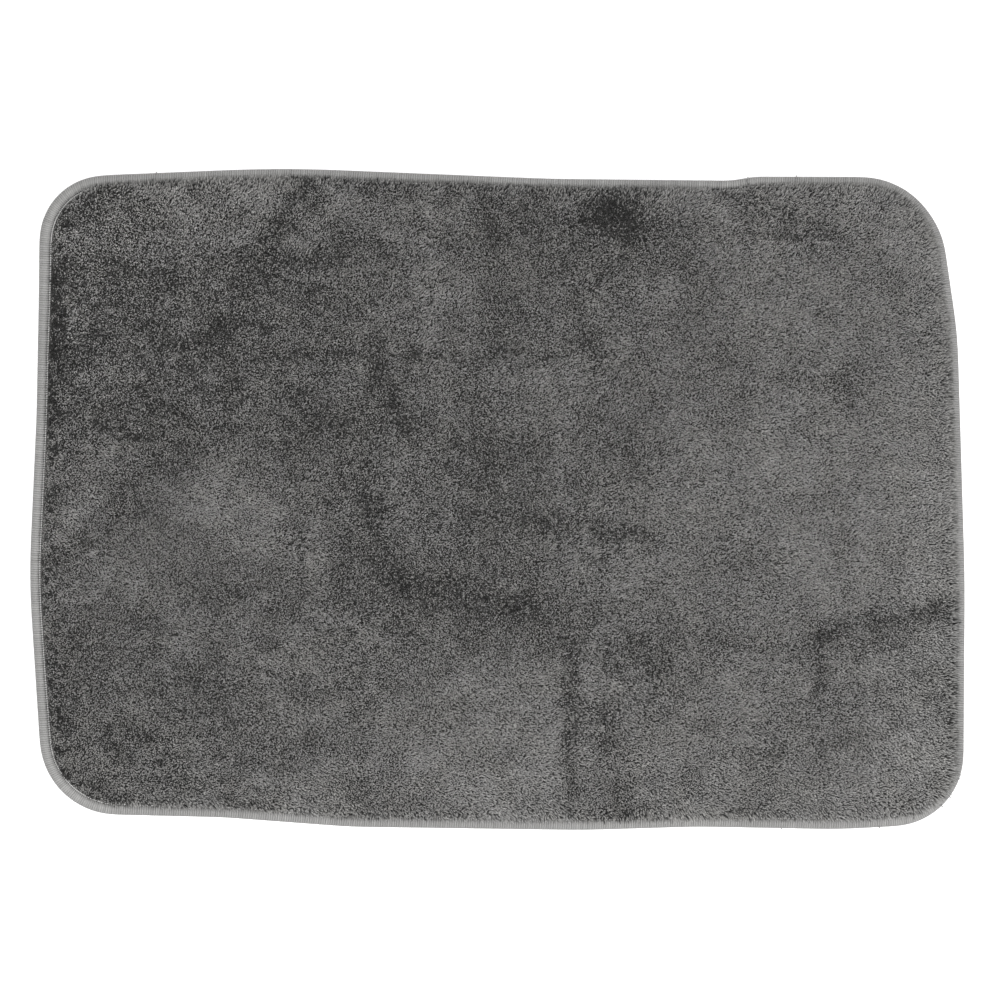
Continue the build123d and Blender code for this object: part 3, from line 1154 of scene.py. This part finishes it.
def make_grip_dots():
    """Moulded rubber dots: a wide foot on the cloth, a rounded side and a flat tip."""
    profile = smooth_path(np.array(DOT_PROFILE) * MM, DOT_STEPS)
    centres = grip_dot_centres()
    turn = np.arange(DOT_SIDES) * 2 * math.pi / DOT_SIDES
    radius, height = profile[:, 0, None], profile[:, 1, None]
    rings = np.stack([radius * np.cos(turn), radius * np.sin(turn), height + 0 * turn], -1)
    dots = np.hstack([centres, np.zeros((len(centres), 1))])[:, None, None, :] + rings[None]
    index = np.arange(dots[..., 0].size).reshape(dots.shape[:3])
    after = np.roll(index, -1, axis=2)
    quads = np.stack([index[:, :-1], index[:, 1:], after[:, 1:], after[:, :-1]], -1).reshape(-1, 4)
    faces = [quads, index[:, 0, :], index[:, -1, ::-1]]
    piece = mesh_object("grip_dots_moulded", dots.reshape(-1, 3), faces, rubber_material())
    hold(piece, "grip_dots")


# -------- studio


def make_floor():
    """A wide white floor that glows a little, so that it shows as white."""
    nodes = Nodes("studio_floor", roughness=0.9, specular=0.1)
    nodes.shader.inputs["Emission Strength"].default_value = FLOOR_GLOW
    material = nodes.finish(nodes.between(nodes.noise(3.0), (0.9, 0.9, 0.9), (0.92, 0.92, 0.92)))
    corners = [(x * FLOOR_HALF, y * FLOOR_HALF, 0) for x, y in ((-1, -1), (1, -1), (1, 1), (-1, 1))]
    floor = mesh_object("studio_floor", np.array(corners), [np.array([[0, 1, 2, 3]])], material)


def make_lights():
    """Even light from all round, and one large softbox."""
    world = bpy.data.worlds.new("studio")
    bpy.context.scene.world = world
    world.use_nodes = True
    background = world.node_tree.nodes["Background"]
    background.inputs["Color"].default_value = (1, 1, 1, 1)
    background.inputs["Strength"].default_value = WORLD_STRENGTH
    light = bpy.data.lights.new("softbox", "AREA")
    light.shape = "RECTANGLE"
    light.size, light.size_y = SOFTBOX_SIZE
    light.energy = SOFTBOX_WATTS
    softbox = bpy.data.objects.new("softbox", light)
    softbox.location = SOFTBOX_PLACE
    softbox.rotation_euler = (-softbox.location).to_track_quat("-Z", "Y").to_euler()
    bpy.context.scene.collection.objects.link(softbox)


def make_camera():
    """Straight above, looking at a point a little right of the mat's middle and below it."""
    seen_width = MAT_LENGTH / MAT_SHARE_OF_PICTURE
    camera = bpy.data.cameras.new("camera")
    camera.sensor_width = 36.0
    camera.lens = camera.sensor_width * (CAMERA_HEIGHT - YARN_MEETING_Z) / seen_width
    camera.clip_end = 50
    holder = bpy.data.objects.new("camera", camera)
    holder.location = (*CAMERA_OFFSET, CAMERA_HEIGHT)
    bpy.context.scene.collection.objects.link(holder)
    bpy.context.scene.camera = holder


make_camera()
make_lights()
make_floor()
bpy.context.scene.view_settings.view_transform = "Standard"

make_grip_dots()
make_backing_cloth()
make_foam_core()
make_ground_fabric()
pile_bed = make_pile_bed()
tufts = make_tufts()
make_upper_looper()
make_lower_looper()
make_needle_thread()
make_thread_ends()
